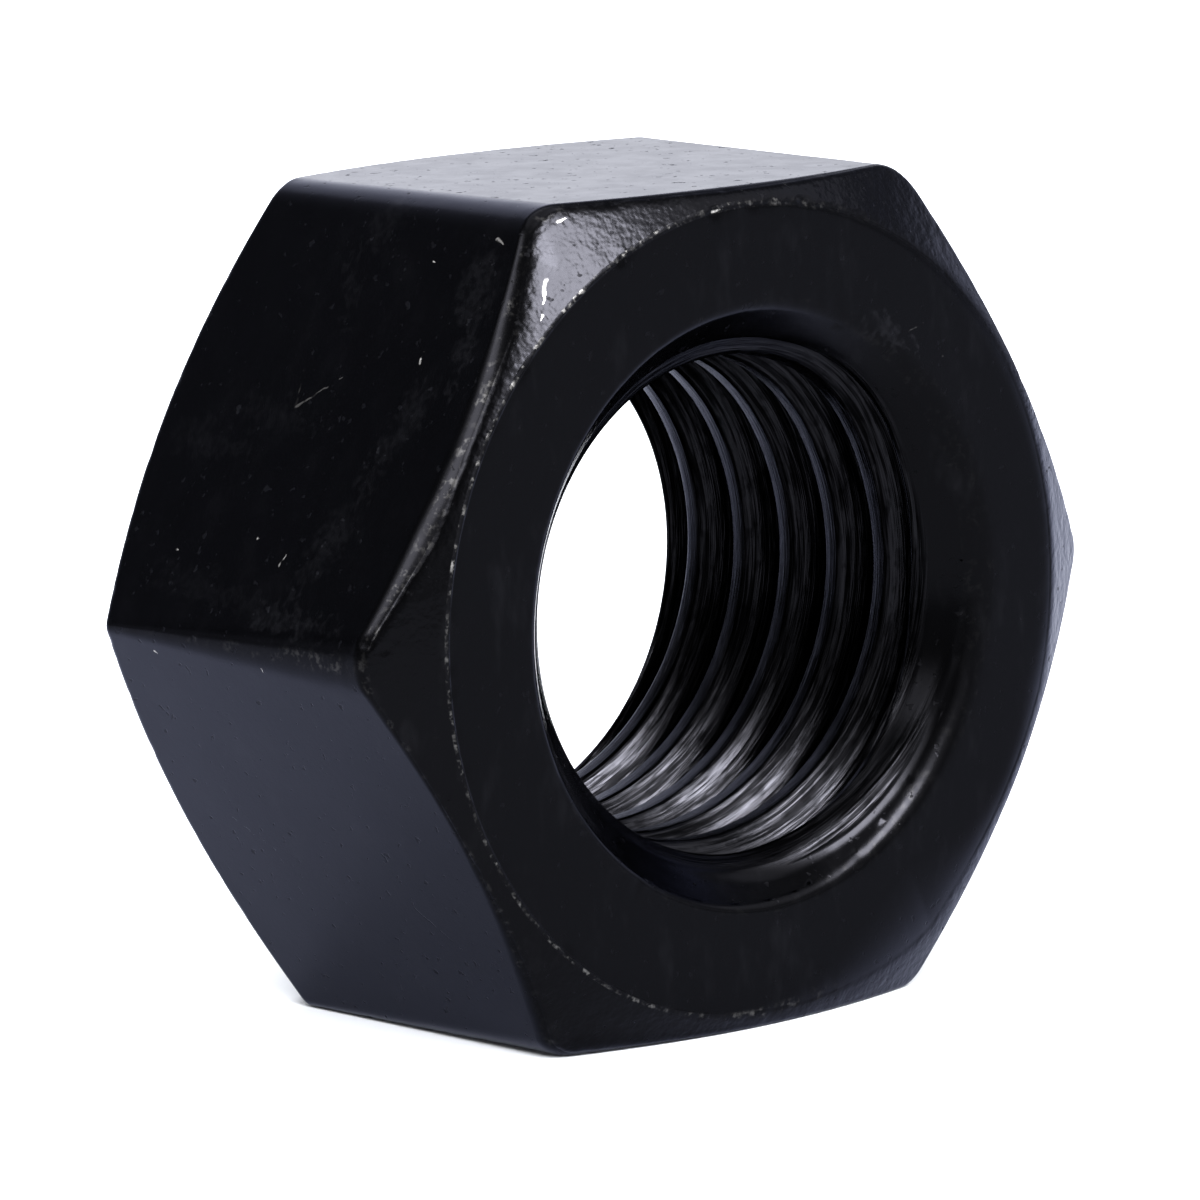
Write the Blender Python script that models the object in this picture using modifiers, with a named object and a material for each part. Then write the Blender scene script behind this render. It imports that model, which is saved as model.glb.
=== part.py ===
"""Hexagon nut, M24 x 3, with ISO 4032 proportions.

The nut is modelled upright round its thread axis (local Z) and then stood on one of its
six wrench flats, so in the world the thread axis is Y and the front face looks along -Y.
Units are metres and the origin is the middle of the nut, on the thread axis.
"""
import math

import bmesh
import bpy
from mathutils import Matrix

MM = 0.001

# Standard sizes of the nut.
ACROSS_FLATS = 36.0 * MM
THICKNESS = 20.2 * MM
THREAD_DIAMETER = 24.0 * MM
THREAD_PITCH = 3.0 * MM
BEARING_DIAMETER = 34.6 * MM
CHAMFER_ANGLE = math.radians(30.0)
COUNTERSINK_DIAMETER = 25.9 * MM
COUNTERSINK_ANGLE = math.radians(90.0)
CORNER_RADIUS = 0.5 * MM

# The 60 degree metric thread: a flat of an eighth of the pitch at the groove's bottom,
# and of a quarter of the pitch on the crest.
THREAD_HEIGHT = THREAD_PITCH * math.sqrt(3) / 2
MINOR_DIAMETER = THREAD_DIAMETER - 2 * 5 / 8 * THREAD_HEIGHT
GROOVE_BOTTOM_WIDTH = THREAD_PITCH / 8
FLANK_ANGLE = math.radians(30.0)
THREAD_START = math.radians(-61.0)

# How far a cutter reaches past the surface that it cuts, how far the tap's coil starts
# inside the minor bore, and how finely things turn.
CUTTER_REACH = 1.5 * MM
TAP_OVERLAP = 0.15 * MM
TURN_STEPS = 96
THREAD_STEPS = 48
CORNER_SEGMENTS = 3
SMOOTH_LIMIT = math.radians(20.0)

BLACK_OXIDE = (0.012, 0.012, 0.015, 1.0)
BLACK_OXIDE_ROUGHNESS = 0.3
BLACK_OXIDE_METALLIC = 0.6


def clear_scene():
    """Remove every object that the file starts with."""
    for old in list(bpy.data.objects):
        bpy.data.objects.remove(old, do_unlink=True)


def new_collection(name):
    """Return a new collection in the scene."""
    group = bpy.data.collections.new(name)
    bpy.context.scene.collection.children.link(group)
    return group


def new_object(name, data, group, parent):
    """Put a mesh into a collection as an object of the standing frame."""
    made = bpy.data.objects.new(name, data)
    group.objects.link(made)
    made.parent = parent
    return made


def standing_frame(group):
    """Return the empty that turns the upright nut over onto a flat."""
    frame = bpy.data.objects.new("thread_axis", None)
    frame.empty_display_size = ACROSS_FLATS
    frame.rotation_euler = (math.radians(90.0), 0.0, 0.0)
    group.objects.link(frame)
    return frame


def black_oxide():
    """Return the dark, slightly glossy finish of blackened steel."""
    finish = bpy.data.materials.new("black_oxide")
    finish.use_nodes = True
    shader = finish.node_tree.nodes["Principled BSDF"]
    shader.inputs["Base Color"].default_value = BLACK_OXIDE
    shader.inputs["Roughness"].default_value = BLACK_OXIDE_ROUGHNESS
    shader.inputs["Metallic"].default_value = BLACK_OXIDE_METALLIC
    return finish


def hexagon_blank(name, height):
    """Return the mesh of a hexagonal bar with slightly rounded corner edges."""
    blank = bmesh.new()
    corner = ACROSS_FLATS / 2 / math.cos(math.radians(30.0))
    bmesh.ops.create_cone(
        blank,
        cap_ends=True,
        segments=6,
        radius1=corner,
        radius2=corner,
        depth=height,
        matrix=Matrix.Rotation(math.radians(30.0), 4, "Z"),
    )
    upright = [
        edge for edge in blank.edges
        if abs(edge.verts[0].co.z - edge.verts[1].co.z) > height / 2
    ]
    bmesh.ops.bevel(
        blank,
        geom=upright,
        offset=CORNER_RADIUS * math.tan(math.radians(30.0)),
        segments=CORNER_SEGMENTS,
        profile=0.5,
        affect="EDGES",
    )
    mesh = bpy.data.meshes.new(name)
    blank.to_mesh(mesh)
    blank.free()
    return mesh


def profile_mesh(name, upper_half):
    """Return an open outline of (radius, height) points, mirrored below the middle."""
    lower_half = [(radius, -height) for radius, height in reversed(upper_half)]
    points = [(radius, 0.0, height) for radius, height in upper_half + lower_half]
    edges = [(index, index + 1) for index in range(len(points) - 1)]
    mesh = bpy.data.meshes.new(name)
    mesh.from_pydata(points, edges, [])
    return mesh


def turn(profile):
    """Turn an outline round its Z axis into a closed body."""
    spin = profile.modifiers.new("turned", "SCREW")
    spin.steps = TURN_STEPS
    spin.render_steps = TURN_STEPS
    spin.use_merge_vertices = True
    spin.merge_threshold = 1e-6


def chamfer_profile():
    """Upper half of the turned form that bounds the blank: a flat face and its chamfer."""
    face = BEARING_DIAMETER / 2
    outside = ACROSS_FLATS / 2 / math.cos(math.radians(30.0)) + CUTTER_REACH
    drop = (outside - face) * math.tan(CHAMFER_ANGLE)
    return [(0.0, THICKNESS / 2), (face, THICKNESS / 2), (outside, THICKNESS / 2 - drop)]


def bore_profile():
    """Upper half of the hole before tapping: a countersink and the thread's minor bore."""
    minor = MINOR_DIAMETER / 2
    slope = math.tan(COUNTERSINK_ANGLE / 2)
    mouth = COUNTERSINK_DIAMETER / 2 + CUTTER_REACH * slope
    depth = (COUNTERSINK_DIAMETER / 2 - minor) / slope
    top = THICKNESS / 2 + CUTTER_REACH
    return [(0.0, top), (mouth, top), (minor, THICKNESS / 2 - depth)]


def thread_coil(name):
    """Return the closed coil that a tap cuts away: one groove section swept up a helix."""
    turns = math.ceil((THICKNESS + 2 * THREAD_PITCH) / THREAD_PITCH)
    inner = MINOR_DIAMETER / 2 - TAP_OVERLAP
    outer = THREAD_DIAMETER / 2
    half_bottom = GROOVE_BOTTOM_WIDTH / 2
    half_mouth = half_bottom + (outer - inner) * math.tan(FLANK_ANGLE)
    start = -turns * THREAD_PITCH / 2
    section = [
        (inner, 0.0, start - half_mouth),
        (outer, 0.0, start - half_bottom),
        (outer, 0.0, start + half_bottom),
        (inner, 0.0, start + half_mouth),
    ]
    coil = bmesh.new()
    face = coil.faces.new([coil.verts.new(point) for point in section])
    steps = turns * THREAD_STEPS
    bmesh.ops.spin(
        coil,
        geom=[face],
        axis=(0.0, 0.0, 1.0),
        cent=(0.0, 0.0, 0.0),
        dvec=(0.0, 0.0, THREAD_PITCH / THREAD_STEPS),
        angle=turns * 2 * math.pi,
        steps=steps,
    )
    bmesh.ops.holes_fill(coil, edges=[edge for edge in coil.edges if edge.is_boundary])
    bmesh.ops.recalc_face_normals(coil, faces=coil.faces)
    mesh = bpy.data.meshes.new(name)
    coil.to_mesh(mesh)
    coil.free()
    return mesh


def make_cutter(name, data, parent, group):
    """Return a guide object that shows as wire and is left out of renders."""
    cutter = new_object(name, data, group, parent)
    cutter.hide_render = True
    cutter.display_type = "WIRE"
    return cutter


def combine(body, operation, other):
    """Cut or bound the body with another object."""
    step = body.modifiers.new(other.name, "BOOLEAN")
    step.operation = operation
    step.object = other


def build_nut():
    """Forge the blank, turn its chamfers, bore it, and tap the thread."""
    clear_scene()
    parts = new_collection("hexagon_nut")
    cutters = new_collection("hexagon_nut_cutters")
    frame = standing_frame(parts)

    nut = new_object("hex_nut", hexagon_blank("hex_nut", THICKNESS + CUTTER_REACH), parts, frame)
    nut.data.materials.append(black_oxide())

    envelope = make_cutter("chamfer_envelope", profile_mesh("chamfer_envelope", chamfer_profile()),
                           frame, cutters)
    bore = make_cutter("bore_cutter", profile_mesh("bore_cutter", bore_profile()), frame, cutters)
    for turned in (envelope, bore):
        turn(turned)
    tap = make_cutter("tap_cutter", thread_coil("tap_cutter"), frame, cutters)
    tap.rotation_euler.z = THREAD_START

    combine(nut, "INTERSECT", envelope)
    combine(nut, "DIFFERENCE", bore)
    combine(nut, "DIFFERENCE", tap)
    nut.data.shade_smooth()
    nut.data.set_sharp_from_angle(angle=SMOOTH_LIMIT)


build_nut()
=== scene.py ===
"""Looks of a black M24 hexagon nut that stands on one of its wrench flats.

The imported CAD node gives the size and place. This script stands one fine surface in for it:
a forged hexagon with soft, nicked edges, turned chamfers and a tapped, countersunk bore,
under an oiled black oxide finish. Lengths are metres. The thread axis is Y, directions round
it are angles from +X towards +Z, and the front face looks along -Y.
"""
import math

import bpy
import numpy as np
from mathutils import Matrix, Vector, noise

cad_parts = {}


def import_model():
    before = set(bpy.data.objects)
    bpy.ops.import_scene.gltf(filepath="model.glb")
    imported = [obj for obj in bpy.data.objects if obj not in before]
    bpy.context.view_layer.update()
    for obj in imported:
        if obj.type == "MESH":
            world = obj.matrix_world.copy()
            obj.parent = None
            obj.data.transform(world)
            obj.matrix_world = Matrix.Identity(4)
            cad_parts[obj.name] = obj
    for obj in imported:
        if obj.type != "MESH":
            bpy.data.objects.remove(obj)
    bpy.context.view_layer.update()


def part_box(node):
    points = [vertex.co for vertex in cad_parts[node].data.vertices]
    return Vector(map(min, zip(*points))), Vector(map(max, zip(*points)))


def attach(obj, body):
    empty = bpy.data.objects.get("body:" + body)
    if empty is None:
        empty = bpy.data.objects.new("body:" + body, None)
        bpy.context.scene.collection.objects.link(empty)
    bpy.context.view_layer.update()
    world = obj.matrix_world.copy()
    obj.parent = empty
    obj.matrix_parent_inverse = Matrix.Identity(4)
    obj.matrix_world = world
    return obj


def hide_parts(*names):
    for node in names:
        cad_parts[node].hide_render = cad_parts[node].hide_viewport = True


MM = 0.001

# The nut's own sizes that the frame's box doesn't give.
THREAD_DIAMETER = 24.0 * MM
THREAD_PITCH = 3.0 * MM
THREAD_HEIGHT = THREAD_PITCH * math.sqrt(3) / 2
MINOR_RADIUS = THREAD_DIAMETER / 2 - 5 / 8 * THREAD_HEIGHT
BEARING_RADIUS = 17.3 * MM
CHAMFER_ANGLE = math.radians(30.0)
COUNTERSINK_RADIUS = 12.8 * MM
COUNTERSINK_SLOPE = math.tan(math.radians(44.0))
COUNTERSINK_DEPTH = (COUNTERSINK_RADIUS - MINOR_RADIUS) / COUNTERSINK_SLOPE

# How deep under the faces the rounding of the bore's lips has ended.
LIP_DEPTH = 0.7 * MM

# Height of a thread crest at direction 0, how far in front of it the first crest is, and how
# far the bore lies off the hexagon's centre in X and Z.
CREST_PHASE = -0.22 * MM
FIRST_CREST = 2 * THREAD_PITCH
BORE_OFFSET = (0.23 * MM, 0.06 * MM)

# Rounding of the six corner edges, at +X first and then every 60 degrees: the forging
# fills the corners fully at the back face and less at the front.
FRONT_CORNER_RADII = (1.2 * MM, 2.8 * MM, 2.2 * MM, 2.6 * MM, 1.8 * MM, 1.3 * MM)
BACK_CORNER_RADII = (0.5 * MM, 0.8 * MM, 1.8 * MM, 0.45 * MM, 0.6 * MM, 0.6 * MM)

# How far the rounding of an edge reaches along the surfaces that it joins. A softness is in
# mm, because the humps below add to it.
FRONT_EDGE_SOFTNESS = 0.35
FACE_CUT = 0.13 * MM
BACK_EDGE_CUT = 0.25 * MM
LIP_SOFTNESS = 0.2

# How worn the corner edges and the bore's lips are, where 1 is rubbed by other nuts.
CORNER_WEAR = 0.4
LIP_WEAR = 0.4

# How the shape varies round the nut, as smooth humps: middle and width in degrees, and
# height in mm or as a share.
SOFTER_FRONT_EDGE = ((155.0, 28.0, 1.2), (88.0, 20.0, 0.3), (235.0, 20.0, 0.8))
SPREAD_UP_CHAMFER = ((128.0, 28.0, 1.5),)
CHAMFER_MELTED_INTO_FACE = ((35.0, 50.0, 0.5), (310.0, 28.0, 2.4))
UNRUBBED = ((275.0, 40.0, 0.3), (35.0, 50.0, 0.85), (205.0, 30.0, 0.2), (315.0, 32.0, 0.7))
SOFTER_LIP = ((10.0, 60.0, 0.6), (308.0, 35.0, 0.2))
ROUND_INNER_END = ((50.0, 30.0, 1.5),)
WORN_FRONT_CORNER = ((180.0, 15.0, 0.13),)

# Nicks struck into the edges: place in mm, reach and depth in mm.
NICKS = (
    ((-20.2, -8.3, 1.0), 0.35, 0.06),
    ((-19.5, -8.8, 0.7), 0.3, 0.05),
    ((-20.2, -8.4, -0.9), 0.4, 0.06),
    ((-2.0, -10.1, 17.1), 0.45, 0.08),
    ((3.1, -10.1, 17.1), 0.35, 0.10),
    ((-17.0, -9.7, -5.6), 0.45, 0.08),
    ((-17.4, -9.7, -4.4), 0.35, 0.06),
    ((-15.5, -9.6, -9.1), 0.4, 0.06),
    ((16.4, -9.2, 8.1), 0.6, 0.08),
    ((14.2, 9.4, -11.9), 0.6, 0.10),
    ((-9.5, 9.2, -16.2), 0.5, 0.08),
    ((17.9, 9.0, 7.2), 0.5, 0.09),
)

# Camera: direction towards it, distance from the nut's centre and lens.
CAMERA_AZIMUTH = math.radians(-41.3)
CAMERA_ELEVATION = math.radians(9.2)
CAMERA_ROLL = math.radians(-1.4)
CAMERA_DISTANCE = 379.0 * MM
CAMERA_DROP = 0.61 * MM
CAMERA_LENS = 264.3
CAMERA_SENSOR = 36.0

# How finely the surface is divided: columns near a corner and from there to the middle of
# a flat, and rows along each strip of the profile.
CORNER_COLUMNS = 15
FLAT_COLUMNS = 36
CORNER_SHARE = 0.09
FACE_ROWS = 10
CHAMFER_ROWS = 11
EDGE_ROWS = 7
WALL_ROWS = 25
LIP_ROWS = 8

# Rows of the thread over half a pitch, as shares of the pitch from the middle of a crest:
# close together at the edges of the crest and of the root.
THREAD_ROWS = (0.0, 0.093, 0.125, 0.157, 0.2, 0.26, 0.306, 0.35, 0.417, 0.4375, 0.467, 0.5)

# Place on the thread of a face that isn't on it.
OFF_THREAD = (0.0, 0.0)


# ---------------------------------------------------------------- shape helpers

def column_directions():
    """Angles of the surface's columns, close together at the corners."""
    side = math.radians(60.0)
    near = np.linspace(0.0, CORNER_SHARE, CORNER_COLUMNS)
    middle = np.linspace(CORNER_SHARE, 0.5, FLAT_COLUMNS)[1:]
    half = np.concatenate([near, middle])
    whole = np.concatenate([half, 1.0 - half[-2:0:-1]])
    return np.concatenate([corner * side + whole * side for corner in range(6)])


def angle_off_corner(direction):
    """Angle between each direction and the corner edge closest to it."""
    return np.abs((direction + math.pi / 6) % (math.pi / 3) - math.pi / 6)


def hexagon_radius(direction, flat_radius, rounding):
    """Distance from the axis to a hexagon with rounded corners, in each direction."""
    off_corner = angle_off_corner(direction)
    flat = flat_radius / np.cos(math.pi / 6 - off_corner)
    centre = (flat_radius - rounding) / math.cos(math.pi / 6)
    reach = centre + rounding * math.cos(math.pi / 6)
    turn = np.arctan2(rounding / 2, reach)
    side = centre * np.sin(off_corner)
    rounded = centre * np.cos(off_corner) + np.sqrt(np.maximum(rounding**2 - side**2, 0.0))
    return np.where(off_corner < turn, rounded, flat)


def nearest_corner(direction):
    """Index of the corner edge that each direction is closest to."""
    return np.round(direction / (math.pi / 3)).astype(int) % 6


def bump(direction, middle, width):
    """A smooth hump of height 1 round the axis, for features of one side; degrees."""
    off = (np.degrees(direction) - middle + 180.0) % 360.0 - 180.0
    return np.exp(-((off / width) ** 2))


def bumps(direction, humps):
    """The sum of several smooth humps, each given by its middle, width and height."""
    return sum(height * bump(direction, middle, width) for middle, width, height in humps)


def rounded_turn(corner, back, ahead, shares):
    """Rows of a soft turn that leaves corner + back and arrives at corner + ahead."""
    return [corner + back * (1 - share) ** 2 + ahead * share**2 for share in shares]


def profile(radius, height):
    """Pair radii and heights along Y as one profile row."""
    return np.stack(np.broadcast_arrays(radius, height), axis=1)


# ---------------------------------------------------------------- outer surface

def outer_rows(direction, half_width, half_thick, rim):
    """Profile rows from the front rim over the chamfers and flats to the back rim.

    Each row comes with its wear, which is 1 where an edge rubs against other nuts.
    """
    corner = nearest_corner(direction)
    front_round = np.array(FRONT_CORNER_RADII)[corner]
    back_round = np.array(BACK_CORNER_RADII)[corner]
    slope = math.tan(CHAMFER_ANGLE)
    rise = np.array([math.cos(CHAMFER_ANGLE), math.sin(CHAMFER_ANGLE)])
    inward, along = np.array([-1.0, 0.0]), np.array([0.0, 1.0])
    fall = rise * np.array([-1.0, 1.0])
    soft = FRONT_EDGE_SOFTNESS + bumps(direction, SOFTER_FRONT_EDGE)
    wall_cut = (soft * MM * slope)[:, None]
    spread = (1.0 + bumps(direction, SPREAD_UP_CHAMFER))[:, None]
    rubbed = 1.0 - bumps(direction, UNRUBBED)

    front = hexagon_radius(direction, half_width, front_round)
    back = hexagon_radius(direction, half_width, back_round)
    front_edge = profile(front, -half_thick + (front - BEARING_RADIUS) * slope)
    back_edge = profile(back, half_thick - (back - BEARING_RADIUS) * slope)
    front_face = profile(BEARING_RADIUS + 0 * direction, -half_thick)
    back_face = profile(BEARING_RADIUS + 0 * direction, half_thick)

    chamfer_length = np.linalg.norm(front_edge - front_face, axis=1)
    melted = bumps(direction, CHAMFER_MELTED_INTO_FACE) * MM
    face_cut = np.minimum(FACE_CUT + melted, 0.78 * chamfer_length)[:, None]
    room = chamfer_length[:, None] - face_cut
    chamfer_cut = np.minimum(wall_cut * spread, 0.85 * room)

    rows, wear = [], []

    def run(start, end, shares):
        """Add unworn rows between two profiles."""
        for share in shares:
            rows.append(start + (end - start) * share)
            wear.append(0.0 * direction)

    def turn(middle, back_step, ahead_step, worn):
        """Add the worn rows of a soft edge from middle + back_step to middle + ahead_step."""
        shares = np.linspace(0.0, 1.0, EDGE_ROWS)[:-1]
        rows.extend(rounded_turn(middle, back_step, ahead_step, shares))
        for share in shares:
            wear.append(0.0 * direction + worn * (1.0 - abs(2 * share - 1) ** 3))

    face_shares = np.linspace(0.0, 1.0, FACE_ROWS)
    chamfer_shares = np.linspace(0.0, 1.0, CHAMFER_ROWS)
    wall_shares = 0.5 - 0.5 * np.cos(np.linspace(0.0, math.pi, WALL_ROWS))

    run(profile(rim, -half_thick), front_face + inward * face_cut, face_shares[:-1])
    turn(front_face, inward * face_cut, rise * face_cut, rubbed)
    run(front_face + rise * face_cut, front_edge - rise * chamfer_cut, chamfer_shares[:-1])
    turn(front_edge, -rise * chamfer_cut, along * wall_cut, 0.5)
    wall_start = front_edge + along * wall_cut
    wall_end = back_edge - along * BACK_EDGE_CUT
    off_corner = angle_off_corner(direction)
    for share in wall_shares[:-1]:
        rounding = front_round + (back_round - front_round) * share
        height = (wall_start + (wall_end - wall_start) * share)[:, 1]
        rows.append(profile(hexagon_radius(direction, half_width, rounding), height))
        worn = CORNER_WEAR + (1.0 - share) * bumps(direction, WORN_FRONT_CORNER)
        wear.append(np.clip(worn + 0.1 - off_corner * half_width / rounding, 0.0, worn))
    turn(back_edge, -along * BACK_EDGE_CUT, fall * BACK_EDGE_CUT, 0.6)
    run(back_edge + fall * BACK_EDGE_CUT, back_face - fall * FACE_CUT, chamfer_shares[:-1])
    turn(back_face, -fall * FACE_CUT, inward * FACE_CUT, 1.0)
    run(back_face + inward * FACE_CUT, profile(rim, half_thick), face_shares)
    wear[0] = wear[0] + LIP_WEAR
    wear[-1] = wear[-1] + LIP_WEAR
    return rows, wear


# ---------------------------------------------------------------- bore

def soft_max(a, b, blend):
    """The larger of two radii, with a small rounding where they meet."""
    gap = np.sqrt((a - b) ** 2 + blend**2)
    return (a + b + gap) / 2


def thread_radius(height_on_helix):
    """Radius of the tapped wall at a distance along Y from the middle of a crest."""
    off = np.abs((height_on_helix / THREAD_PITCH + 0.5) % 1.0 - 0.5) * THREAD_PITCH
    flank = (off - THREAD_PITCH / 8) / math.tan(math.radians(30.0))
    depth = THREAD_DIAMETER / 2 - MINOR_RADIUS
    blend = 0.07 * MM
    cut = soft_max(flank, 0.0, blend)
    return MINOR_RADIUS + depth - soft_max(depth - cut, 0.0, blend)


def thread_start(direction, on_helix):
    """How far the first turn stands out of the front countersink, low on the right."""
    past_crest = (on_helix + FIRST_CREST) / MM
    proud = np.interp(past_crest, (-0.6, -0.47, -0.28, 0.7), (0.0, 0.2, 0.42, 0.0))
    return proud * MM * bump(direction, 302.0, 30.0)


def first_groove(direction, on_helix):
    """Share of the thread's depth that is cut, less where the first groove begins."""
    turned = np.degrees(direction)
    ahead = np.where(turned > 180.0, THREAD_PITCH, 0.0)
    past_root = (on_helix - ahead + FIRST_CREST + THREAD_PITCH / 2) / MM
    filled = np.interp(past_root, (-0.2, 0.3), (1.0, 0.0))
    return 1.0 - filled * np.minimum(1.3 * bump(direction, 40.0, 72.0), 1.0)


def inner_rounding(direction, depth):
    """Rounding where the front countersink runs into the thread, widest high on the right."""
    past_lip = (depth - LIP_DEPTH) / (COUNTERSINK_DEPTH - LIP_DEPTH)
    return bumps(direction, ROUND_INNER_END) * MM * np.clip(past_lip, 0.0, 1.0)


def bore_radius(direction, height, half_thick):
    """Radius of the bore with its thread and both countersinks."""
    on_helix = height + THREAD_PITCH * direction / (2 * math.pi) - CREST_PHASE
    cut = (thread_radius(on_helix) - MINOR_RADIUS) * first_groove(direction, on_helix)
    radius = MINOR_RADIUS + cut
    for side in (-1.0, 1.0):
        depth = half_thick - side * height
        cone = COUNTERSINK_RADIUS - depth * COUNTERSINK_SLOPE
        blend = 0.12 * MM
        if side < 0:
            cone = cone - thread_start(direction, on_helix)
            blend = blend + inner_rounding(direction, depth)
        radius = soft_max(radius, cone, blend)
    return radius


def lip_cut(direction):
    """How far the rounding of the bore's rim reaches along the face."""
    return (LIP_SOFTNESS + bumps(direction, SOFTER_LIP)) * MM


class SurfaceBuilder:
    """Collects points and faces, with the thread coordinates of each face corner."""

    def __init__(self):
        self.points = []
        self.wear = []
        self.faces = []
        self.thread_coordinates = []

    def add_ring(self, direction, radius, height, offset, wear):
        """Add a ring of points, moved by a share of the bore's offset; return their indices."""
        first = len(self.points)
        x = radius * np.cos(direction) + offset * BORE_OFFSET[0]
        z = radius * np.sin(direction) + offset * BORE_OFFSET[1]
        self.points.extend(zip(x, height, z))
        self.wear.extend(np.broadcast_to(wear, direction.shape))
        return np.arange(first, first + len(direction))

    def add_face(self, corners, coordinates):
        """Add a face, leaving out corners that fell together."""
        kept = [at for at, corner in enumerate(corners) if corner != corners[at - 1]]
        if len(kept) < 3:
            return
        self.faces.append([int(corners[at]) for at in kept])
        self.thread_coordinates.extend(coordinates[at] for at in kept)

    def bridge(self, ring, following):
        """Join two rings that have the same columns."""
        count = len(ring)
        for here in range(count):
            there = (here + 1) % count
            corners = (ring[here], following[here], following[there], ring[there])
            self.add_face(corners, (OFF_THREAD,) * 4)

    def bridge_double(self, coarse, fine, front):
        """Join a lip's ring to its face's, which has twice the columns; the even ones match."""
        for here in range(len(coarse)):
            there = (here + 1) % len(coarse)
            left, middle, right = fine[2 * here], fine[2 * here + 1], fine[2 * there]
            triangles = (
                (coarse[here], left, middle),
                (coarse[here], middle, coarse[there]),
                (coarse[there], middle, right),
            )
            for corners in triangles:
                ordered = corners if front else corners[::-1]
                self.add_face(ordered, (OFF_THREAD,) * 3)


def thread_levels(half_thick):
    """Heights of the helical rows at direction 0, and how many make up one pitch."""
    shares = np.array(THREAD_ROWS)
    pitch = np.concatenate([-shares[:0:-1], shares[:-1]])
    half_turns = math.ceil(half_thick / THREAD_PITCH)
    levels = np.concatenate(
        [(turn + pitch) * THREAD_PITCH for turn in range(-half_turns - 1, half_turns + 3)]
    )
    return levels + CREST_PHASE, len(pitch)


def add_thread(builder, direction, half_thick, ends):
    """Fill the bore between its two end rings with rows that follow the helix."""
    levels, per_pitch = thread_levels(half_thick)
    low, high = ends["height"]
    columns = len(direction)
    angles = np.append(direction, 2 * math.pi)
    index = np.empty((columns + 1, len(levels)), int)
    height = np.empty((columns + 1, len(levels)))
    for column, angle in enumerate(angles):
        place = column % columns
        dropped = levels - THREAD_PITCH * angle / (2 * math.pi)
        inside = (dropped > low[place]) & (dropped < high[place])
        before = dropped <= low[place]
        height[column] = np.clip(dropped, low[place], high[place])
        index[column] = np.where(before, ends["front"][place], ends["back"][place])
        if column < columns:
            inner = height[column][inside]
            radius = bore_radius(np.full(inner.shape, angle), inner, half_thick)
            first = len(builder.points)
            x = radius * math.cos(angle) + BORE_OFFSET[0]
            z = radius * math.sin(angle) + BORE_OFFSET[1]
            builder.points.extend(zip(x, inner, z))
            builder.wear.extend(np.zeros(len(inner)))
            index[column][inside] = np.arange(first, first + len(inner))
        else:
            index[column][inside] = np.roll(index[0], per_pitch)[inside]
    travel = MINOR_RADIUS * angles
    lap = 2 * math.pi * MINOR_RADIUS
    for row in range(len(levels) - 1):
        turn = row // per_pitch
        start = levels[turn * per_pitch]
        for column in range(columns):
            corners, coordinates = [], []
            for step, level in ((0, 0), (1, 0), (1, 1), (0, 1)):
                at, up = column + step, row + level
                corners.append(index[at, up])
                across = height[at, up] + THREAD_PITCH * angles[at] / (2 * math.pi) - start
                coordinates.append((travel[at] - turn * lap, across))
            if len(set(corners)) >= 3:
                builder.add_face(corners, coordinates)


def build_surface(half_width, half_thick):
    """Return the builder holding the whole nut as one closed surface."""
    builder = SurfaceBuilder()
    direction = column_directions()
    coarse = direction[::2]
    face_rim = COUNTERSINK_RADIUS + lip_cut(direction)
    rows, wear = outer_rows(direction, half_width, half_thick, face_rim)
    face_width = BEARING_RADIUS - COUNTERSINK_RADIUS
    rings = []
    for row, worn in zip(rows, wear):
        radius, height = row[:, 0], row[:, 1]
        offset = np.clip((BEARING_RADIUS - radius) / face_width, 0.0, 1.0)
        rings.append(builder.add_ring(direction, radius, height, offset, worn))
    for ring, following in zip(rings, rings[1:]):
        builder.bridge(ring, following)

    ends = {"height": []}
    cut = lip_cut(coarse)[:, None]
    outward = np.array([1.0, 0.0])
    shares = np.linspace(0.0, 1.0, LIP_ROWS)[1:]
    for side, name in ((-1.0, "front"), (1.0, "back")):
        down = np.array([-COUNTERSINK_SLOPE, -side]) / math.hypot(COUNTERSINK_SLOPE, 1.0)
        rim = profile(COUNTERSINK_RADIUS + 0 * coarse, side * half_thick)
        lip = rounded_turn(rim, outward * cut, down * cut, shares)
        lip_rings = [
            builder.add_ring(coarse, row[:, 0], row[:, 1], 1.0, LIP_WEAR) for row in lip
        ]
        face_ring = rings[0] if side < 0 else rings[-1]
        builder.bridge_double(lip_rings[0], face_ring, side < 0)
        for ring, following in zip(lip_rings, lip_rings[1:]):
            if side < 0:
                builder.bridge(following, ring)
            else:
                builder.bridge(ring, following)
        ends[name] = lip_rings[-1]
        ends["height"].append(lip[-1][:, 1])
    add_thread(builder, coarse, half_thick, ends)
    return builder


def sunk(point, wear):
    """How far the forged surface lies under its ideal place, from its waves, chips and nicks."""
    wave = noise.noise(point / (6.0 * MM)) + 0.4 * noise.noise(point / (2.2 * MM))
    depth = 0.010 * MM * (1.0 + wave)
    rough = noise.noise(point / (0.55 * MM))
    if wear > 0.0:
        chip = rough + 0.6 * noise.noise(point / (1.3 * MM))
        depth += 0.07 * MM * wear * max(chip - 0.2, 0.0)
    for place, size, nick in NICKS:
        away = (point - Vector(place) * MM).length / (size * MM) + 0.6 * rough
        if away < 1.0:
            depth += nick * MM * (1.0 - max(away, 0.0)) ** 1.5
    return depth


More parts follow.
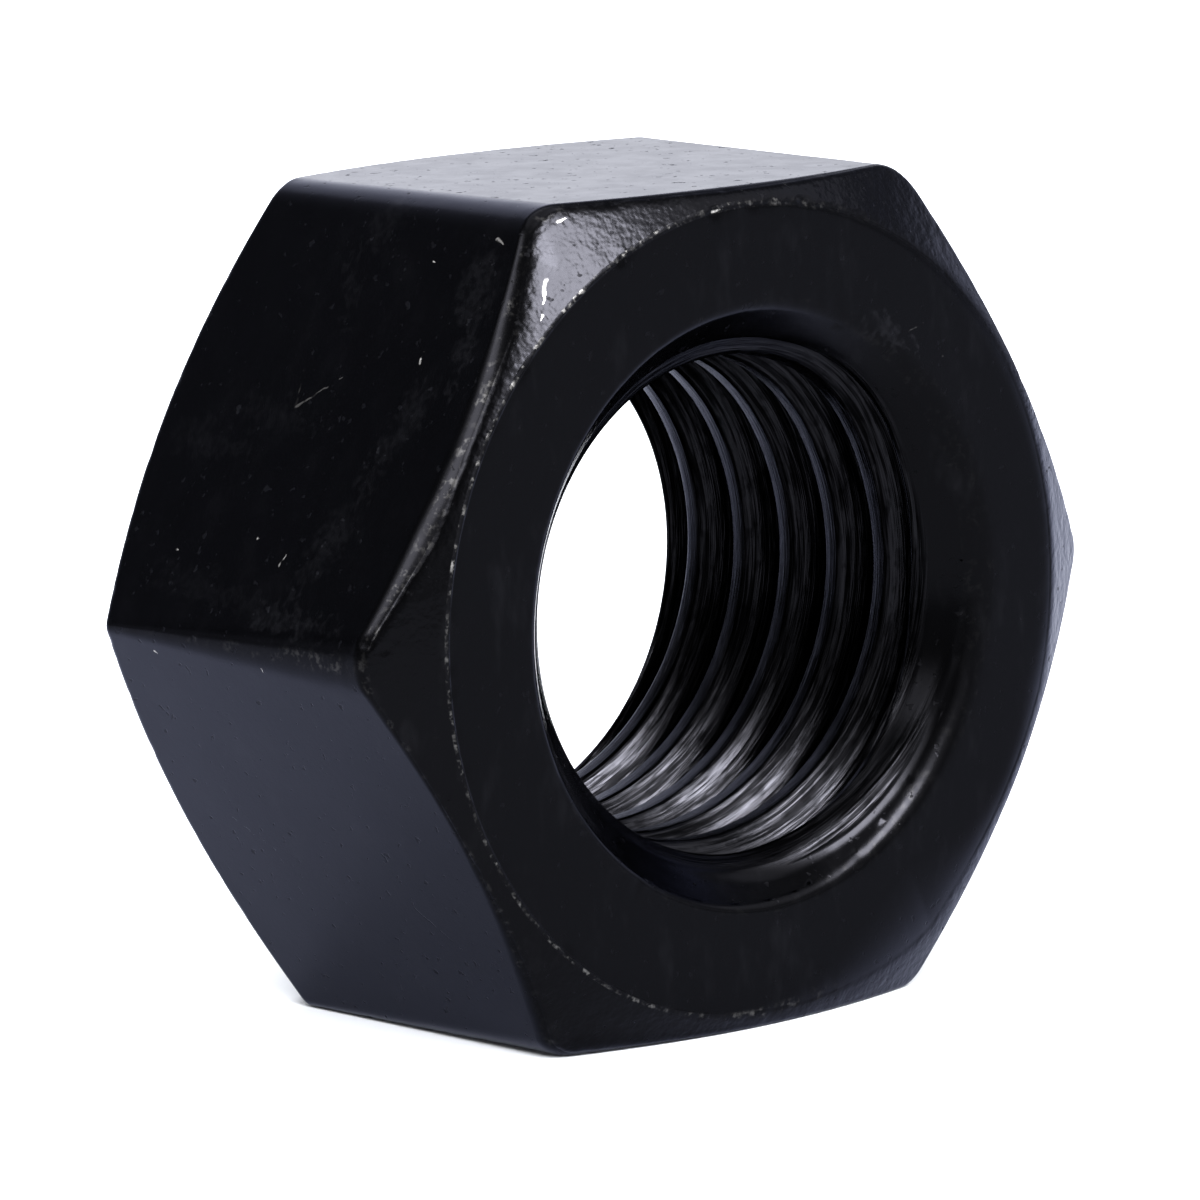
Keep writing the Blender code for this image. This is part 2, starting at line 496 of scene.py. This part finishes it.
def nut_mesh(half_width, half_thick):
    """Turn the built surface into a mesh with its wear and thread coordinates."""
    built = build_surface(half_width, half_thick)
    mesh = bpy.data.meshes.new("black_nut")
    mesh.from_pydata(built.points, [], built.faces)
    coordinates = mesh.attributes.new("thread", "FLOAT_VECTOR", "CORNER")
    flat = np.zeros((len(built.thread_coordinates), 3))
    flat[:, :2] = built.thread_coordinates
    coordinates.data.foreach_set("vector", flat.ravel())
    wear = mesh.attributes.new("wear", "FLOAT", "POINT")
    wear.data.foreach_set("value", np.array(built.wear, dtype=np.float32))
    mesh.shade_smooth()
    normals = [vertex.normal.copy() for vertex in mesh.vertices]
    for vertex, normal, worn in zip(mesh.vertices, normals, built.wear):
        vertex.co -= normal * sunk(vertex.co, worn)
    mesh.update()
    return mesh


# ---------------------------------------------------------------- finish

# The oxide's own faint reflectance, the steel under it and the glancing tint of the oil.
OXIDE_COLOUR = (0.0034, 0.0034, 0.0040)
STEEL_COLOUR = (0.22, 0.215, 0.21, 1.0)
OIL_TINT = (0.66, 0.67, 0.74, 1.0)

# A mix node's sockets for colours: factor, first and second colour, and the result.
MIX_SOCKETS = (0, 6, 7)
MIXED_COLOUR = 2


class NodeSheet:
    """Adds shader nodes to one tree and joins them."""

    def __init__(self, tree):
        self.tree = tree

    def node(self, kind, **settings):
        """Add a node and set its own settings."""
        made = self.tree.nodes.new(kind)
        for name, value in settings.items():
            setattr(made, name, value)
        return made

    def feed(self, socket, value):
        """Join a socket to another node's output, or give it a plain value."""
        if isinstance(value, bpy.types.NodeSocket):
            self.tree.links.new(value, socket)
        else:
            socket.default_value = value

    def math(self, operation, *values):
        """Add a maths node over numbers."""
        made = self.node("ShaderNodeMath", operation=operation)
        for socket, value in zip(made.inputs, values):
            self.feed(socket, value)
        return made.outputs["Value"]

    def vector(self, operation, *values):
        """Add a maths node over vectors."""
        made = self.node("ShaderNodeVectorMath", operation=operation)
        for socket, value in zip(made.inputs, values):
            self.feed(socket, value)
        single = operation in ("DOT_PRODUCT", "LENGTH", "DISTANCE")
        return made.outputs["Value" if single else "Vector"]

    def scaled(self, place, scale):
        """Stretch coordinates by one scale for each axis."""
        return self.vector("MULTIPLY", place, scale)

    def in_mm(self, place):
        """Turn coordinates in metres into millimetres."""
        return self.scaled(place, (1 / MM,) * 3)

    def lengthened(self, vector, factor):
        """A vector times a number."""
        made = self.node("ShaderNodeVectorMath", operation="SCALE")
        self.feed(made.inputs["Vector"], vector)
        self.feed(made.inputs["Scale"], factor)
        return made.outputs["Vector"]

    def noise(self, place, scale, detail=2.0, roughness=0.5):
        """Soft noise round 0.5 with features of 1 / scale."""
        made = self.node("ShaderNodeTexNoise")
        self.feed(made.inputs["Vector"], place)
        self.feed(made.inputs["Scale"], scale)
        self.feed(made.inputs["Detail"], detail)
        self.feed(made.inputs["Roughness"], roughness)
        return made.outputs["Fac"]

    def step(self, value, low, high, start=0.0, end=1.0):
        """A smooth change from start at low to end at high, level beyond them."""
        made = self.node("ShaderNodeMapRange", interpolation_type="SMOOTHSTEP")
        self.feed(made.inputs["Value"], value)
        self.feed(made.inputs["From Min"], low)
        self.feed(made.inputs["From Max"], high)
        self.feed(made.inputs["To Min"], start)
        self.feed(made.inputs["To Max"], end)
        return made.outputs["Result"]

    def add(self, *values):
        """The sum of several numbers."""
        total = values[0]
        for value in values[1:]:
            total = self.math("ADD", total, value)
        return total

    def times(self, first, second):
        """The product of two numbers."""
        return self.math("MULTIPLY", first, second)


def mark_group():
    """A node group that draws one tapering scratch or nick between two points."""
    group = bpy.data.node_groups.new("mark", "ShaderNodeTree")
    group.interface.new_socket("Place", in_out="INPUT", socket_type="NodeSocketVector")
    group.interface.new_socket("Start", in_out="INPUT", socket_type="NodeSocketVector")
    group.interface.new_socket("Span", in_out="INPUT", socket_type="NodeSocketVector")
    group.interface.new_socket("Width", in_out="INPUT", socket_type="NodeSocketFloat")
    group.interface.new_socket("Level", in_out="OUTPUT", socket_type="NodeSocketFloat")
    sheet = NodeSheet(group)
    given = sheet.node("NodeGroupInput").outputs
    away = sheet.vector("SUBTRACT", given["Place"], given["Start"])
    reach = sheet.vector("DOT_PRODUCT", given["Span"], given["Span"])
    share = sheet.math("DIVIDE", sheet.vector("DOT_PRODUCT", away, given["Span"]), reach)
    held = sheet.math("MINIMUM", sheet.math("MAXIMUM", share, 0.0), 1.0)
    gap = sheet.vector("DISTANCE", away, sheet.lengthened(given["Span"], held))
    taper = sheet.times(given["Width"], sheet.step(held, 0.0, 1.0, 1.0, 0.35))
    level = sheet.step(sheet.math("DIVIDE", gap, taper), 0.35, 1.0, 1.0, 0.0)
    sheet.feed(sheet.node("NodeGroupOutput").inputs["Level"], level)
    return group


def marks_level(sheet, place, group, marks):
    """The strongest of several marks at each place."""
    level = 0.0
    for start, end, width, strength in marks:
        drawn = sheet.node("ShaderNodeGroup", node_tree=group)
        sheet.feed(drawn.inputs["Place"], place)
        sheet.feed(drawn.inputs["Start"], start)
        sheet.feed(drawn.inputs["Span"], Vector(end) - Vector(start))
        sheet.feed(drawn.inputs["Width"], width)
        level = sheet.math("MAXIMUM", level, sheet.times(drawn.outputs["Level"], strength))
    return level


# Distance of the wrench flats from the nut's centre in mm, which puts a mark on a flat.
FLAT_DISTANCE = 18.0


def on_flat(facing, along, across, along_end, across_end, width, strength=1.0):
    """A mark on a wrench flat, from its directions in degrees and places in mm."""
    turn = math.radians(facing)
    outward = Vector((math.cos(turn), 0.0, math.sin(turn))) * FLAT_DISTANCE
    sideways = Vector((-math.sin(turn), 0.0, math.cos(turn)))
    start = outward + sideways * along + Vector((0.0, across, 0.0))
    end = outward + sideways * along_end + Vector((0.0, across_end, 0.0))
    return start, end, width, strength


# Directions of the wrench flats that have marks.
UPPER_LEFT, LOWER_LEFT, UPPER_RIGHT, LOWER_RIGHT = 150.0, 210.0, 30.0, 330.0

# Marks, each with its start, end and width in mm, and its strength. These are struck down to
# bright steel, all but the first on the front chamfer, which is a painted highlight of a ridge.
BRIGHT_MARKS = (
    on_flat(UPPER_LEFT, -0.4, 1.5, -2.1, -0.8, 0.08, 0.3),
    on_flat(UPPER_LEFT, -0.4, 1.5, -2.0, 1.9, 0.07, 0.15),
    on_flat(UPPER_LEFT, -3.0, -5.1, -3.5, -5.1, 0.09, 0.8),
    on_flat(UPPER_LEFT, -8.8, -6.8, -8.5, -7.6, 0.09, 0.6),
    on_flat(UPPER_LEFT, 5.5, 0.7, 5.5, 0.6, 0.10),
    on_flat(UPPER_LEFT, 6.5, -1.3, 6.0, -1.5, 0.09, 0.8),
    on_flat(UPPER_LEFT, 6.5, 5.4, 6.5, 5.3, 0.07),
    on_flat(UPPER_LEFT, -7.5, -3.5, -7.5, -3.6, 0.08),
    on_flat(LOWER_LEFT, -9.5, 5.3, -9.4, 5.2, 0.08),
    on_flat(LOWER_LEFT, -9.5, -1.8, -9.3, -1.8, 0.08),
    on_flat(LOWER_LEFT, -9.3, -8.3, -9.3, -8.2, 0.10),
    on_flat(UPPER_RIGHT, 2.4, 1.5, 4.6, -0.8, 0.08, 0.3),
    on_flat(UPPER_RIGHT, -5.1, -4.2, -4.8, -4.3, 0.09),
    on_flat(LOWER_RIGHT, -1.0, 3.0, -3.4, 4.1, 0.08, 0.25),
    # Painted highlight: bare steel's colour drawn where a small ridge on the upper left chamfer
    # catches the light.
    ((-10.8, -9.45, 15.1), (-11.25, -9.6, 14.2), 0.15, 0.5),
    ((-11.4, -9.8, 13.7), (-11.5, -9.8, 13.5), 0.09, 0.35),
    ((-9.5, -8.7, 17.3), (-9.0, -8.8, 17.4), 0.10, 0.3),
    ((-2.1, -10.1, 17.1), (-1.5, -10.1, 17.25), 0.11, 0.8),
    ((3.1, -10.1, 17.1), (3.15, -10.1, 17.15), 0.10, 0.9),
    ((9.0, -10.1, 10.9), (9.9, -10.1, 11.2), 0.06, 0.07),
    ((11.0, -10.1, 9.6), (11.2, -10.1, 9.6), 0.06, 0.10),
    ((11.0, 10.1, 9.5), (13.1, 10.1, 7.9), 0.08, 0.3),
)

# A long faint score in the lower left flat.
DARK_MARKS = (
    on_flat(LOWER_LEFT, -0.5, 6.3, 1.0, 4.2, 0.04),
    on_flat(LOWER_LEFT, 1.0, 4.2, 4.7, 3.7, 0.04),
    on_flat(LOWER_LEFT, 2.9, -3.8, 5.2, -6.0, 0.05),
)

# Wide, faint smears that hands and oil leave on a flat.
SMEARS = (
    on_flat(UPPER_LEFT, -7.4, -6.6, -2.0, -7.9, 1.4, 2.8),
    on_flat(UPPER_LEFT, -1.5, -5.9, 5.1, -3.9, 1.0, 2.2),
    on_flat(UPPER_LEFT, 4.6, -4.2, 7.6, -2.8, 1.4, 2.2),
    on_flat(UPPER_LEFT, -9.3, 0.2, -7.1, 1.6, 1.1, 1.8),
    on_flat(UPPER_LEFT, -6.6, 1.2, -4.0, 0.2, 0.7, 1.5),
    on_flat(UPPER_LEFT, 1.4, 7.5, 1.9, 3.2, 1.2, 1.2),
    on_flat(UPPER_LEFT, -0.2, 4.4, 0.4, -0.8, 1.0, 1.2),
    on_flat(UPPER_LEFT, 7.6, 5.5, 9.2, -6.5, 1.0, 1.2),
    on_flat(UPPER_LEFT, 8.9, -1.6, 8.8, -6.6, 0.9, 3.2),
    on_flat(UPPER_RIGHT, -6.0, 3.0, 3.0, -2.0, 1.6, 1.5),
    on_flat(LOWER_RIGHT, -5.0, -2.0, 6.0, 4.0, 1.8, 1.5),
    ((7.2, -10.1, 11.4), (9.7, -10.1, 9.9), 0.8, 1.2),
)


def surface_masks(sheet, place, half_thick):
    """Where the surface is chamfer, where it is bore, and its distance from the bore's axis."""
    parts = sheet.node("ShaderNodeSeparateXYZ")
    sheet.feed(parts.inputs[0], place)
    off_middle = sheet.math("ABSOLUTE", parts.outputs["Y"])
    from_axis = sheet.vector("LENGTH", sheet.scaled(place, (1.0, 0.0, 1.0)))
    chamfer_slope = math.tan(CHAMFER_ANGLE)
    chamfer_top = (half_thick + BEARING_RADIUS * chamfer_slope) / MM
    past_chamfer = sheet.add(off_middle, sheet.times(from_axis, chamfer_slope), -chamfer_top)
    chamfer = sheet.step(past_chamfer, -0.14, -0.04)

    # Bore is what lies off the countersinks' cones: the grooves that cut into them, the start
    # of the thread that stands proud low on the front one, and all that is nearer the axis.
    centre = (BORE_OFFSET[0] / MM, 0.0, BORE_OFFSET[1] / MM)
    from_bore = sheet.vector("SUBTRACT", place, centre)
    bore_distance = sheet.vector("LENGTH", sheet.scaled(from_bore, (1.0, 0.0, 1.0)))
    within = sheet.step(bore_distance, 12.1, 12.4, 1.0, 0.0)
    cone_start = (COUNTERSINK_RADIUS - half_thick * COUNTERSINK_SLOPE) / MM
    off_cone = sheet.add(bore_distance, sheet.times(off_middle, -COUNTERSINK_SLOPE), -cone_start)
    low_side = sheet.step(parts.outputs["Z"], -2.0, 0.0, 1.0, 0.0)
    proud = sheet.times(sheet.step(off_cone, -0.20, -0.07, 1.0, 0.0), low_side)
    tapped = sheet.math("MAXIMUM", proud, sheet.step(off_cone, 0.07, 0.20))
    deep = sheet.step(bore_distance, 11.0, 11.3, 1.0, 0.0)
    bore = sheet.times(within, sheet.math("MAXIMUM", tapped, deep))
    return chamfer, bore, bore_distance


def tapped_steel(sheet, bore_distance):
    """Striations along the helix, torn across in places: their reflectance and height."""
    helix_place = sheet.node("ShaderNodeAttribute", attribute_name="thread").outputs["Vector"]
    helix = sheet.in_mm(helix_place)
    striae = sheet.noise(sheet.scaled(helix, (0.12, 6.0, 1.0)), 1.0, 3.0, 0.85)
    torn = sheet.noise(sheet.scaled(helix, (0.9, 4.0, 1.0)), 1.0, 2.0, 0.65)
    height = sheet.add(sheet.times(striae, 0.040), sheet.times(torn, 0.012))
    clean = sheet.step(torn, 0.52, 0.66, 1.0, 0.5)
    shine = sheet.times(sheet.step(striae, 0.42, 0.60, 0.15, 1.7), clean)
    off_crest = sheet.step(bore_distance, 10.45, 10.65, 0.4, 1.0)
    return sheet.times(shine, off_crest), height


def wobbled(sheet, place, wobble, reach):
    """Places moved by up to half the reach in mm, which makes what is drawn there ragged."""
    moved = sheet.vector("ADD", place, sheet.scaled(wobble, (reach,) * 3))
    return sheet.vector("SUBTRACT", moved, (reach / 2,) * 3)


def black_oxide(half_thick):
    """Oiled black oxide on forged steel: near black, with steel showing where it is struck, and
    one painted highlight in steel's colour.
    """
    finish = bpy.data.materials.new("black_oxide")
    finish.use_nodes = True
    sheet = NodeSheet(finish.node_tree)
    shader = finish.node_tree.nodes["Principled BSDF"]
    place = sheet.in_mm(sheet.node("ShaderNodeTexCoord").outputs["Object"])
    wear = sheet.node("ShaderNodeAttribute", attribute_name="wear").outputs["Fac"]
    chamfer, bore, bore_distance = surface_masks(sheet, place, half_thick)
    shine, thread_height = tapped_steel(sheet, bore_distance)

    # Forged skin: ripples that are strongest on the chamfers, fine grain and small scars.
    ripple = sheet.noise(place, 1.1, 2.0, 0.6)
    dimple = sheet.noise(place, 3.4, 1.0)
    grain = sheet.noise(place, 7.0, 0.0)
    scar = sheet.step(sheet.noise(place, 1.9, 2.0, 0.6), 0.65, 0.74)
    scar = sheet.times(scar, sheet.step(bore, 0.0, 0.5, 1.0, 0.0))
    wobble = sheet.node("ShaderNodeTexNoise")
    sheet.feed(wobble.inputs["Vector"], place)
    sheet.feed(wobble.inputs["Scale"], 1.8)
    sheet.feed(wobble.inputs["Detail"], 1.0)

    # Marks that this nut has picked up, one painted highlight drawn as steel, and edges rubbed
    # down to steel.
    group = mark_group()
    traced = wobbled(sheet, place, wobble.outputs["Color"], 0.3)
    struck_and_highlit = marks_level(sheet, traced, group, BRIGHT_MARKS)
    struck_and_highlit = sheet.times(struck_and_highlit, sheet.step(dimple, 0.34, 0.50, 0.3, 1.0))
    scored = marks_level(sheet, traced, group, DARK_MARKS)
    edge = sheet.step(wear, 0.35, 1.0)
    rub = sheet.times(edge, sheet.step(sheet.noise(place, 2.4, 2.0, 0.75), 0.48, 0.68))
    rub = sheet.times(rub, sheet.step(ripple, 0.40, 0.62, 0.05, 0.34))
    bare_steel_and_highlight = sheet.math("MAXIMUM", struck_and_highlit, rub)

    # Colour: dark oxide with faint smudges, and steel where it is bare or where a ridge's
    # highlight is painted.
    streaky = sheet.noise(sheet.scaled(place, (1.0, 1.0, 0.4)), 0.6, 3.0, 0.65)
    dabbed = wobbled(sheet, place, wobble.outputs["Color"], 2.4)
    smeared = marks_level(sheet, dabbed, group, SMEARS)
    smeared = sheet.times(smeared, sheet.step(dimple, 0.30, 0.70, 0.2, 0.8))
    smudge = sheet.add(sheet.step(streaky, 0.52, 0.80, 0.70, 1.2), smeared)
    smudge = sheet.times(smudge, sheet.step(chamfer, 0.0, 1.0, 1.0, 1.25))
    level = sheet.math("MULTIPLY_ADD", bore, sheet.math("SUBTRACT", shine, smudge), smudge)
    colour = sheet.node("ShaderNodeMix", data_type="RGBA")
    factor, first_colour, second_colour = (colour.inputs[at] for at in MIX_SOCKETS)
    sheet.feed(factor, bare_steel_and_highlight)
    sheet.feed(first_colour, sheet.lengthened(OXIDE_COLOUR, level))
    sheet.feed(second_colour, STEEL_COLOUR)
    sheet.feed(shader.inputs["Base Color"], colour.outputs[MIXED_COLOUR])

    roughness = sheet.add(
        sheet.step(streaky, 0.3, 0.7, 0.22, 0.25),
        sheet.times(bare_steel_and_highlight, 0.25),
        sheet.times(edge, 0.16),
        sheet.times(scar, 0.24),
    )
    sheet.feed(shader.inputs["Roughness"], roughness)
    shader.inputs["Metallic"].default_value = 1.0
    shader.inputs["Specular Tint"].default_value = OIL_TINT

    # Heights are millimetres.
    skin = sheet.add(
        sheet.times(ripple, sheet.step(chamfer, 0.0, 1.0, 0.002, 0.038)),
        sheet.times(dimple, sheet.step(chamfer, 0.0, 1.0, 0.0008, 0.016)),
        sheet.times(grain, 0.0007),
        sheet.times(scar, -0.005),
        sheet.times(scored, -0.006),
    )
    height = sheet.math("MULTIPLY_ADD", bore, sheet.math("SUBTRACT", thread_height, skin), skin)
    relief = sheet.node("ShaderNodeBump")
    sheet.feed(relief.inputs["Height"], height)
    relief.inputs["Strength"].default_value = 1.0
    relief.inputs["Distance"].default_value = MM
    sheet.feed(shader.inputs["Normal"], relief.outputs["Normal"])
    return finish


# ---------------------------------------------------------------- studio

def direction_to(azimuth, elevation):
    """Unit vector from the nut's centre, azimuth 0 along -Y and 90 along +X; radians."""
    flat = math.cos(elevation)
    return Vector((math.sin(azimuth) * flat, -math.cos(azimuth) * flat, math.sin(elevation)))


def add_camera():
    """Place the telephoto camera that sees the nut from the left and a little above."""
    back = direction_to(CAMERA_AZIMUTH, CAMERA_ELEVATION)
    level = Vector((math.cos(CAMERA_AZIMUTH), math.sin(CAMERA_AZIMUTH), 0.0))
    upright = back.cross(level)
    right = level * math.cos(CAMERA_ROLL) + upright * math.sin(CAMERA_ROLL)
    up = back.cross(right)
    data = bpy.data.cameras.new("camera")
    data.lens = CAMERA_LENS
    data.sensor_width = CAMERA_SENSOR
    data.clip_start = 0.01
    data.clip_end = 100.0
    camera = bpy.data.objects.new("camera", data)
    placed = Matrix((right, up, back)).transposed().to_4x4()
    placed.translation = back * CAMERA_DISTANCE - up * CAMERA_DROP
    camera.matrix_world = placed
    bpy.context.scene.collection.objects.link(camera)
    bpy.context.scene.camera = camera


def add_floor(height):
    """Lay the plain pale floor under the nut."""
    bpy.ops.mesh.primitive_plane_add(size=60.0, location=(0.0, 0.0, height))
    floor = bpy.context.active_object
    floor.name = "floor"
    paint = bpy.data.materials.new("floor_paint")
    paint.use_nodes = True
    shader = paint.node_tree.nodes["Principled BSDF"]
    shader.inputs["Base Color"].default_value = (0.83, 0.85, 0.89, 1.0)
    shader.inputs["Roughness"].default_value = 1.0
    shader.inputs["Specular IOR Level"].default_value = 0.0
    floor.data.materials.append(paint)
    return floor


def light_only(lamp_object, receiver):
    """Let a lamp light one object and leave the rest alone."""
    group = bpy.data.collections.new(lamp_object.name + "_lights")
    group.objects.link(receiver)
    lamp_object.light_linking.receiver_collection = group


def add_sun(name, toward, energy, spread):
    """Hang a wide, soft sun in a direction."""
    lamp = bpy.data.lights.new(name, "SUN")
    lamp.energy = energy
    lamp.angle = math.radians(spread)
    sun = bpy.data.objects.new(name, lamp)
    sun.rotation_euler = Vector(toward).to_track_quat("Z", "Y").to_euler()
    bpy.context.scene.collection.objects.link(sun)
    return sun


def add_softbox(name, toward, along, size, radiance):
    """Hang an area light one metre away that faces the nut, its first side along a direction."""
    lamp = bpy.data.lights.new(name, "AREA")
    lamp.shape = "RECTANGLE"
    lamp.size, lamp.size_y = size
    lamp.energy = radiance * math.pi * size[0] * size[1]
    box = bpy.data.objects.new(name, lamp)
    away = Vector(toward).normalized()
    upright = away.cross(Vector(along)).normalized()
    placed = Matrix((upright.cross(away), upright, away)).transposed().to_4x4()
    placed.translation = away
    box.matrix_world = placed
    bpy.context.scene.collection.objects.link(box)
    return box


# Suns that light only the floor: name, direction, strength and spread in degrees.
FLOOR_WASHES = (
    ("left_wash", (-0.51, -0.58, 0.64), 5.8, 30.0),
    ("right_wash", (0.62, -0.42, 0.66), 3.6, 40.0),
)

# Softboxes that light only the nut: name, direction, direction of the first side, size in
# metres and radiance.
SOFTBOXES = (
    ("key", (0.17, -0.79, 0.585), (0.54, 0.25, 0.22), (0.34, 0.36), 150.0),
    ("low_key", (-0.04, -0.87, 0.46), (0.54, 0.25, 0.22), (0.30, 0.30), 12.0),
    ("left_strip", (-0.74, 0.02, 0.63), (0.0, 1.0, 0.0), (0.55, 0.36), 30.0),
    ("left_glow", (-0.74, -0.07, 0.63), (0.0, 1.0, 0.0), (1.27, 0.36), 10.0),
    ("right_fill", (0.65, -0.51, 0.56), (0.0, 1.0, 0.0), (0.5, 0.5), 3.5),
    ("back_fill", (0.30, 0.74, 0.56), (1.0, 0.0, 0.0), (0.7, 0.55), 2.0),
)


def add_lights(nut, floor):
    """Hang the soft overhead light, the floor's washes and the nut's softboxes."""
    add_sun("overhead", (0.0, 0.0, 1.0), 3.1, 50.0)
    for name, toward, energy, spread in FLOOR_WASHES:
        light_only(add_sun(name, toward, energy, spread), floor)
    for name, toward, along, size, radiance in SOFTBOXES:
        light_only(add_softbox(name, toward, along, size, radiance), nut)


def set_world():
    """A bright band at the horizon, dimmer at the left, under a dim studio ceiling.

    The camera sees an even pale backdrop in its place.
    """
    world = bpy.data.worlds.new("studio")
    world.use_nodes = True
    bpy.context.scene.world = world
    world.node_tree.nodes.clear()
    sheet = NodeSheet(world.node_tree)
    direction = sheet.node("ShaderNodeTexCoord").outputs["Generated"]
    split = sheet.node("ShaderNodeSeparateXYZ")
    sheet.feed(split.inputs[0], direction)
    studio = sheet.node("ShaderNodeBackground")
    studio.inputs["Color"].default_value = (0.97, 0.98, 1.0, 1.0)
    band = sheet.step(split.outputs["Z"], 0.03, 0.15, 0.65, 2.65)
    dimming = sheet.step(split.outputs["Z"], 0.18, 0.30, 1.0, 0.25)
    left_dim = sheet.step(split.outputs["X"], -0.65, -0.25, 0.40, 1.0)
    sheet.feed(studio.inputs["Strength"], sheet.times(sheet.times(band, dimming), left_dim))
    seen = sheet.node("ShaderNodeBackground")
    seen.inputs["Strength"].default_value = 1.0
    seen.inputs["Color"].default_value = (0.95, 0.95, 0.95, 1.0)
    pick = sheet.node("ShaderNodeMixShader")
    sheet.feed(pick.inputs[0], sheet.node("ShaderNodeLightPath").outputs["Is Camera Ray"])
    sheet.feed(pick.inputs[1], studio.outputs["Background"])
    sheet.feed(pick.inputs[2], seen.outputs["Background"])
    sheet.feed(sheet.node("ShaderNodeOutputWorld").inputs["Surface"], pick.outputs["Shader"])


def main():
    """Build the nut's surface and the studio around the frame."""
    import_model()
    low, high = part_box("hex_nut")
    half_width = (high[2] - low[2]) / 2
    half_thick = (high[1] - low[1]) / 2

    nut = bpy.data.objects.new("black_nut", nut_mesh(half_width, half_thick))
    bpy.context.scene.collection.objects.link(nut)
    nut.data.materials.append(black_oxide(half_thick))
    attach(nut, "root")
    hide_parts("hex_nut")

    floor = add_floor(low[2])
    add_lights(nut, floor)
    set_world()
    add_camera()
    bpy.context.scene.view_settings.view_transform = "Standard"

    bpy.context.view_layer.update()


main()
